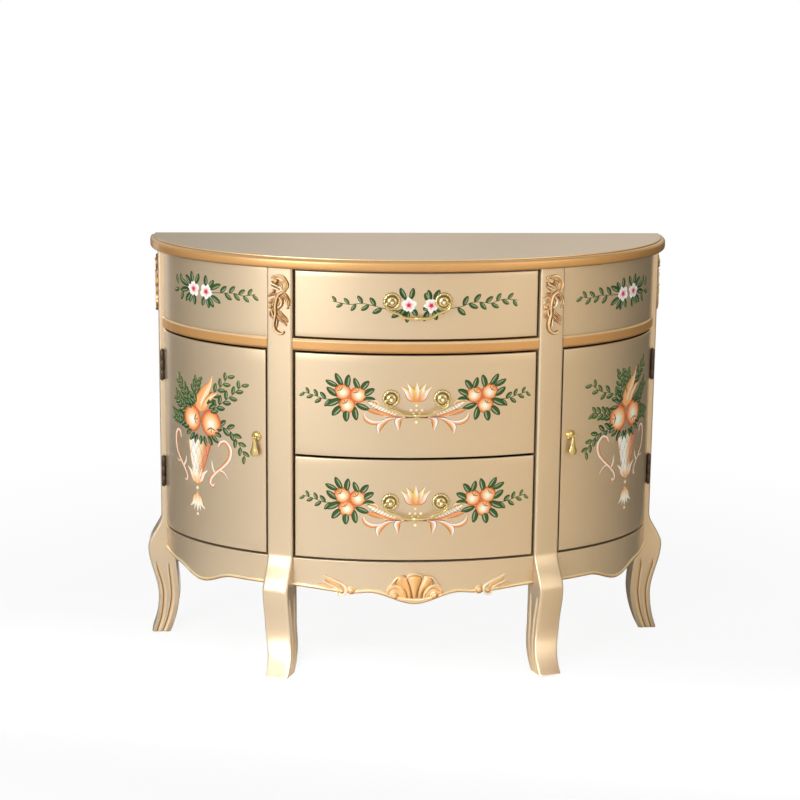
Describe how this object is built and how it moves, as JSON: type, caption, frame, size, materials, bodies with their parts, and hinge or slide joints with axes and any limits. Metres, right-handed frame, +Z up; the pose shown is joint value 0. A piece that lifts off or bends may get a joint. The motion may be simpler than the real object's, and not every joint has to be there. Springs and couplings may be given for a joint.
{
  "type": "demilune cabinet",
  "caption": "Half-round cabinet on cabriole legs, with bowed drawers between curved side doors, painted with flowers and gilt trim.",
  "frame": {"origin": "on the floor, under the middle of the cabinet's width and depth", "axes": "+X to the right as one faces the front, +Y towards the flat back, +Z up; the bowed front faces -Y"},
  "size_m": [1.1078, 0.366, 0.86],
  "materials": {
    "champagne_lacquer": "satin champagne metallic lacquer with painted flowers",
    "gilt": "gilt paint, rubbed paler on the edges",
    "polished_brass": "polished cast brass",
    "dark_bronze": "dark bronze",
    "bare_wood": "sanded, unpainted",
    "thin_board": "thin brown board, unpainted"
  },
  "bodies": {
    "carcass": {"apron_centre": "champagne_lacquer", "apron_left": "champagne_lacquer", "apron_right": "champagne_lacquer", "apron_shell": "gilt", "back_leg_left": "champagne_lacquer", "back_leg_right": "champagne_lacquer", "back_panel": "thin_board", "bottom_board": "bare_wood", "divider_left": "bare_wood", "divider_right": "bare_wood", "frieze_left": "champagne_lacquer", "frieze_right": "champagne_lacquer", "front_leg_left": "champagne_lacquer", "front_leg_right": "champagne_lacquer", "hinge_leg_leaf_lower_left": "dark_bronze", "hinge_leg_leaf_lower_right": "dark_bronze", "hinge_leg_leaf_upper_left": "dark_bronze", "hinge_leg_leaf_upper_right": "dark_bronze", "mount_front_left": "gilt", "mount_front_right": "gilt", "mount_side_left": "gilt", "mount_side_right": "gilt", "rail_centre": "gilt", "rail_left": "gilt", "rail_right": "gilt", "top_board": "champagne_lacquer"},
    "drawer_top": {"drawer_front_top": "champagne_lacquer", "drawer_side_top_left": "bare_wood", "drawer_side_top_right": "bare_wood", "drawer_back_top": "bare_wood", "drawer_bottom_top": "thin_board", "rosette_top_left": "polished_brass", "rosette_top_right": "polished_brass"},
    "bail_top": {"bail_top": "polished_brass"},
    "drawer_middle": {"drawer_front_middle": "champagne_lacquer", "drawer_side_middle_left": "bare_wood", "drawer_side_middle_right": "bare_wood", "drawer_back_middle": "bare_wood", "drawer_bottom_middle": "thin_board", "rosette_middle_left": "polished_brass", "rosette_middle_right": "polished_brass"},
    "bail_middle": {"bail_middle": "polished_brass"},
    "drawer_bottom": {"drawer_front_bottom": "champagne_lacquer", "drawer_side_bottom_left": "bare_wood", "drawer_side_bottom_right": "bare_wood", "drawer_back_bottom": "bare_wood", "drawer_bottom_bottom": "thin_board", "rosette_bottom_left": "polished_brass", "rosette_bottom_right": "polished_brass"},
    "bail_bottom": {"bail_bottom": "polished_brass"},
    "door_left": {"door_left": "champagne_lacquer", "hinge_door_leaf_upper_left": "dark_bronze", "hinge_door_leaf_lower_left": "dark_bronze", "pull_base_left": "polished_brass"},
    "pull_drop_left": {"pull_drop_left": "polished_brass"},
    "door_right": {"door_right": "champagne_lacquer", "hinge_door_leaf_upper_right": "dark_bronze", "hinge_door_leaf_lower_right": "dark_bronze", "pull_base_right": "polished_brass"},
    "pull_drop_right": {"pull_drop_right": "polished_brass"}
  },
  "joints": [
    {"name": "drawer_top_slide", "type": "slide", "parent": "carcass", "child": "drawer_top", "axis": [0, -1, 0], "range_m": [0, 0.2]},
    {"name": "drawer_middle_slide", "type": "slide", "parent": "carcass", "child": "drawer_middle", "axis": [0, -1, 0], "range_m": [0, 0.2]},
    {"name": "drawer_bottom_slide", "type": "slide", "parent": "carcass", "child": "drawer_bottom", "axis": [0, -1, 0], "range_m": [0, 0.2]},
    {"name": "bail_top_swing", "type": "hinge", "parent": "drawer_top", "child": "bail_top", "pos_m": [0, -0.17226, 0.77576], "axis": [-1, 0, 0], "range_deg": [0, 80]},
    {"name": "bail_middle_swing", "type": "hinge", "parent": "drawer_middle", "child": "bail_middle", "pos_m": [0, -0.17226, 0.57976], "axis": [-1, 0, 0], "range_deg": [0, 80]},
    {"name": "bail_bottom_swing", "type": "hinge", "parent": "drawer_bottom", "child": "bail_bottom", "pos_m": [0, -0.17226, 0.36625], "axis": [-1, 0, 0], "range_deg": [0, 80]},
    {"name": "door_left_swing", "type": "hinge", "parent": "carcass", "child": "door_left", "pos_m": [-0.51796, 0.11474, 0.455], "axis": [0, 0, -1], "range_deg": [0, 105]},
    {"name": "door_right_swing", "type": "hinge", "parent": "carcass", "child": "door_right", "pos_m": [0.51796, 0.11474, 0.455], "axis": [0, 0, 1], "range_deg": [0, 105]},
    {"name": "pull_drop_left_swing", "type": "hinge", "parent": "door_left", "child": "pull_drop_left", "pos_m": [-0.32348, -0.10065, 0.487], "axis": [-0.8989, 0.4381, 0], "range_deg": [0, 70]},
    {"name": "pull_drop_right_swing", "type": "hinge", "parent": "door_right", "child": "pull_drop_right", "pos_m": [0.32348, -0.10065, 0.487], "axis": [-0.8989, -0.4381, 0], "range_deg": [0, 70]}
  ]
}
